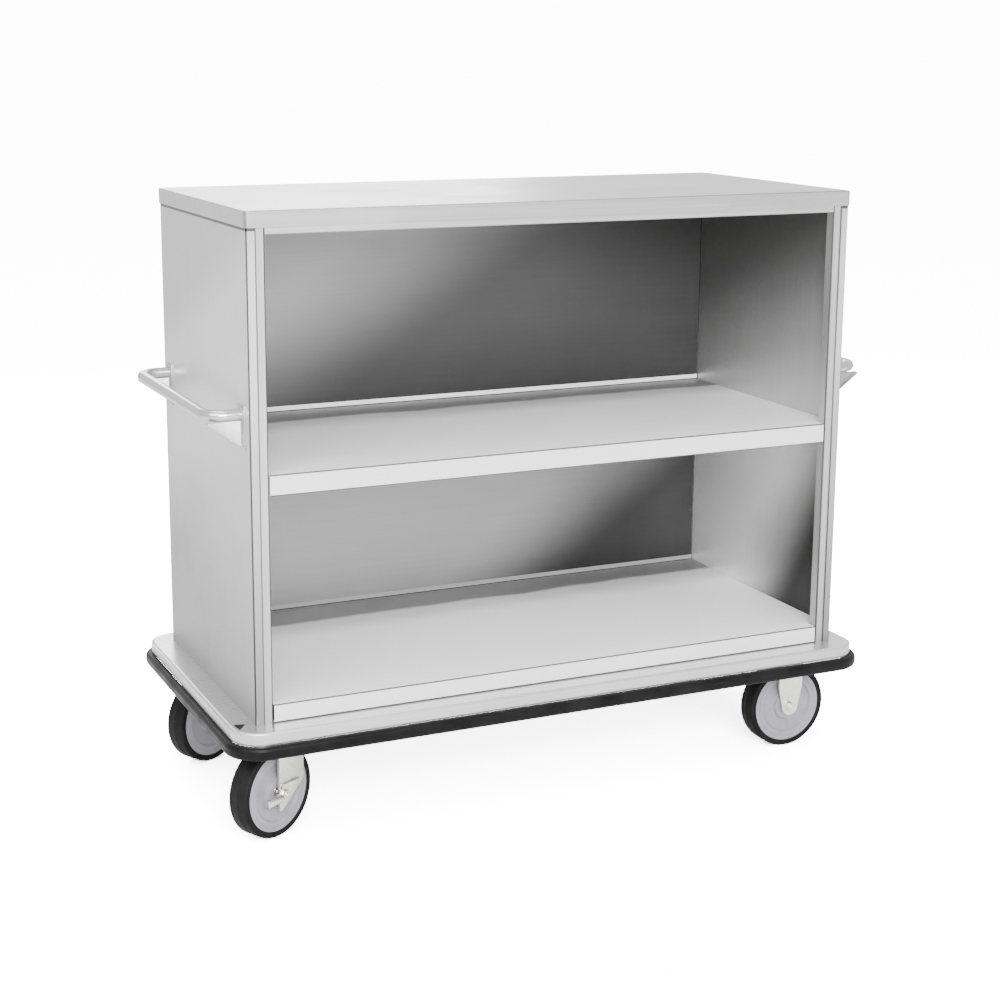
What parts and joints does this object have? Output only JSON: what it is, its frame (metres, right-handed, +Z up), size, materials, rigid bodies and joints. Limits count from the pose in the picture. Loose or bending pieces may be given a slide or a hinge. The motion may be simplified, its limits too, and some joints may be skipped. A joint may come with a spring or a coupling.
{
  "type": "hotel luggage cart",
  "caption": "Enclosed sheet-steel luggage cart, open at the front, with a mid shelf, end push handles, a rubber bumper round its deck and swivel and rigid casters.",
  "frame": {"origin": "on the floor under the middle of the cart", "axes": "+X to the right along the cart seen from its open front, +Y from the open front to the back panel, +Z up"},
  "size_m": [1.589, 0.768, 1.332],
  "materials": {
    "sheet": "brushed satin stainless sheet, grain along the folds",
    "handle": "polished stainless tube, lightly worn",
    "track": "mill finish extrusion",
    "bumper": "black non-marking rubber, satin",
    "tyre": "black rubber tread",
    "wheel_core": "light grey moulded core, faint violet cast",
    "caster_steel": "bright zinc plated pressed steel",
    "bearing_steel": "ground steel",
    "underframe": "grey primer on folded channel",
    "zinc": "yellow zinc plated fasteners"
  },
  "bodies": {
    "cart": {"deck_plate": "sheet", "bumper": "bumper", "bumper_track": "track", "front_rail": "underframe", "rear_rail": "underframe", "cross_members": "underframe", "caster_pads": "underframe", "left_end_panel": "sheet", "right_end_panel": "sheet", "back_panel": "sheet", "left_front_post": "sheet", "right_front_post": "sheet", "top_panel": "sheet", "top_front_rail": "sheet", "mid_shelf": "sheet", "left_shelf_angle": "sheet", "right_shelf_angle": "sheet", "back_shelf_angle": "sheet", "floor_pan": "sheet", "floor_stringers": "underframe", "left_handle_tube": "handle", "right_handle_tube": "handle", "left_handle_brackets": "sheet", "right_handle_brackets": "sheet", "handle_rivets": "sheet", "back_rivets": "sheet", "caster_bolts": "zinc", "caster_nuts": "zinc", "front_left_caster_plate": "caster_steel", "front_left_caster_race": "caster_steel", "front_left_kingpin": "caster_steel", "rear_left_caster_plate": "caster_steel", "rear_left_caster_race": "caster_steel", "rear_left_kingpin": "caster_steel", "front_right_fork": "caster_steel", "front_right_axle": "caster_steel", "front_right_sleeve": "bearing_steel", "rear_right_fork": "caster_steel", "rear_right_axle": "caster_steel", "rear_right_sleeve": "bearing_steel"},
    "front_left_yoke": {"front_left_fork": "caster_steel", "front_left_axle": "caster_steel", "front_left_sleeve": "bearing_steel"},
    "front_left_wheel": {"front_left_hub": "wheel_core", "front_left_bearings": "bearing_steel", "front_left_tyre": "tyre"},
    "front_left_brake": {"front_left_brake_lever": "caster_steel"},
    "rear_left_yoke": {"rear_left_fork": "caster_steel", "rear_left_axle": "caster_steel", "rear_left_sleeve": "bearing_steel"},
    "rear_left_wheel": {"rear_left_hub": "wheel_core", "rear_left_bearings": "bearing_steel", "rear_left_tyre": "tyre"},
    "rear_left_brake": {"rear_left_brake_lever": "caster_steel"},
    "front_right_wheel": {"front_right_hub": "wheel_core", "front_right_bearings": "bearing_steel", "front_right_tyre": "tyre"},
    "rear_right_wheel": {"rear_right_hub": "wheel_core", "rear_right_bearings": "bearing_steel", "rear_right_tyre": "tyre"}
  },
  "joints": [
    {"name": "front_left_swivel", "type": "hinge", "parent": "cart", "child": "front_left_yoke", "pos_m": [-0.625, -0.24, 0.212], "axis": [0, 0, 1], "continuous": true},
    {"name": "front_left_spin", "type": "hinge", "parent": "front_left_yoke", "child": "front_left_wheel", "pos_m": [-0.66208, -0.25972, 0.1016], "axis": [0.4695, -0.8829, 0], "continuous": true},
    {"name": "front_left_brake_press", "type": "hinge", "parent": "front_left_yoke", "child": "front_left_brake", "pos_m": [-0.66208, -0.25972, 0.1016], "axis": [0.4695, -0.8829, 0], "range_deg": [0, 35]},
    {"name": "rear_left_swivel", "type": "hinge", "parent": "cart", "child": "rear_left_yoke", "pos_m": [-0.625, 0.24, 0.212], "axis": [0, 0, 1], "continuous": true},
    {"name": "rear_left_spin", "type": "hinge", "parent": "rear_left_yoke", "child": "rear_left_wheel", "pos_m": [-0.66208, 0.22028, 0.1016], "axis": [0.4695, -0.8829, 0], "continuous": true},
    {"name": "rear_left_brake_press", "type": "hinge", "parent": "rear_left_yoke", "child": "rear_left_brake", "pos_m": [-0.66208, 0.22028, 0.1016], "axis": [0.4695, -0.8829, 0], "range_deg": [0, 35]},
    {"name": "front_right_spin", "type": "hinge", "parent": "cart", "child": "front_right_wheel", "pos_m": [0.635, -0.24, 0.1016], "axis": [0, -1, 0], "continuous": true},
    {"name": "rear_right_spin", "type": "hinge", "parent": "cart", "child": "rear_right_wheel", "pos_m": [0.635, 0.24, 0.1016], "axis": [0, -1, 0], "continuous": true}
  ]
}
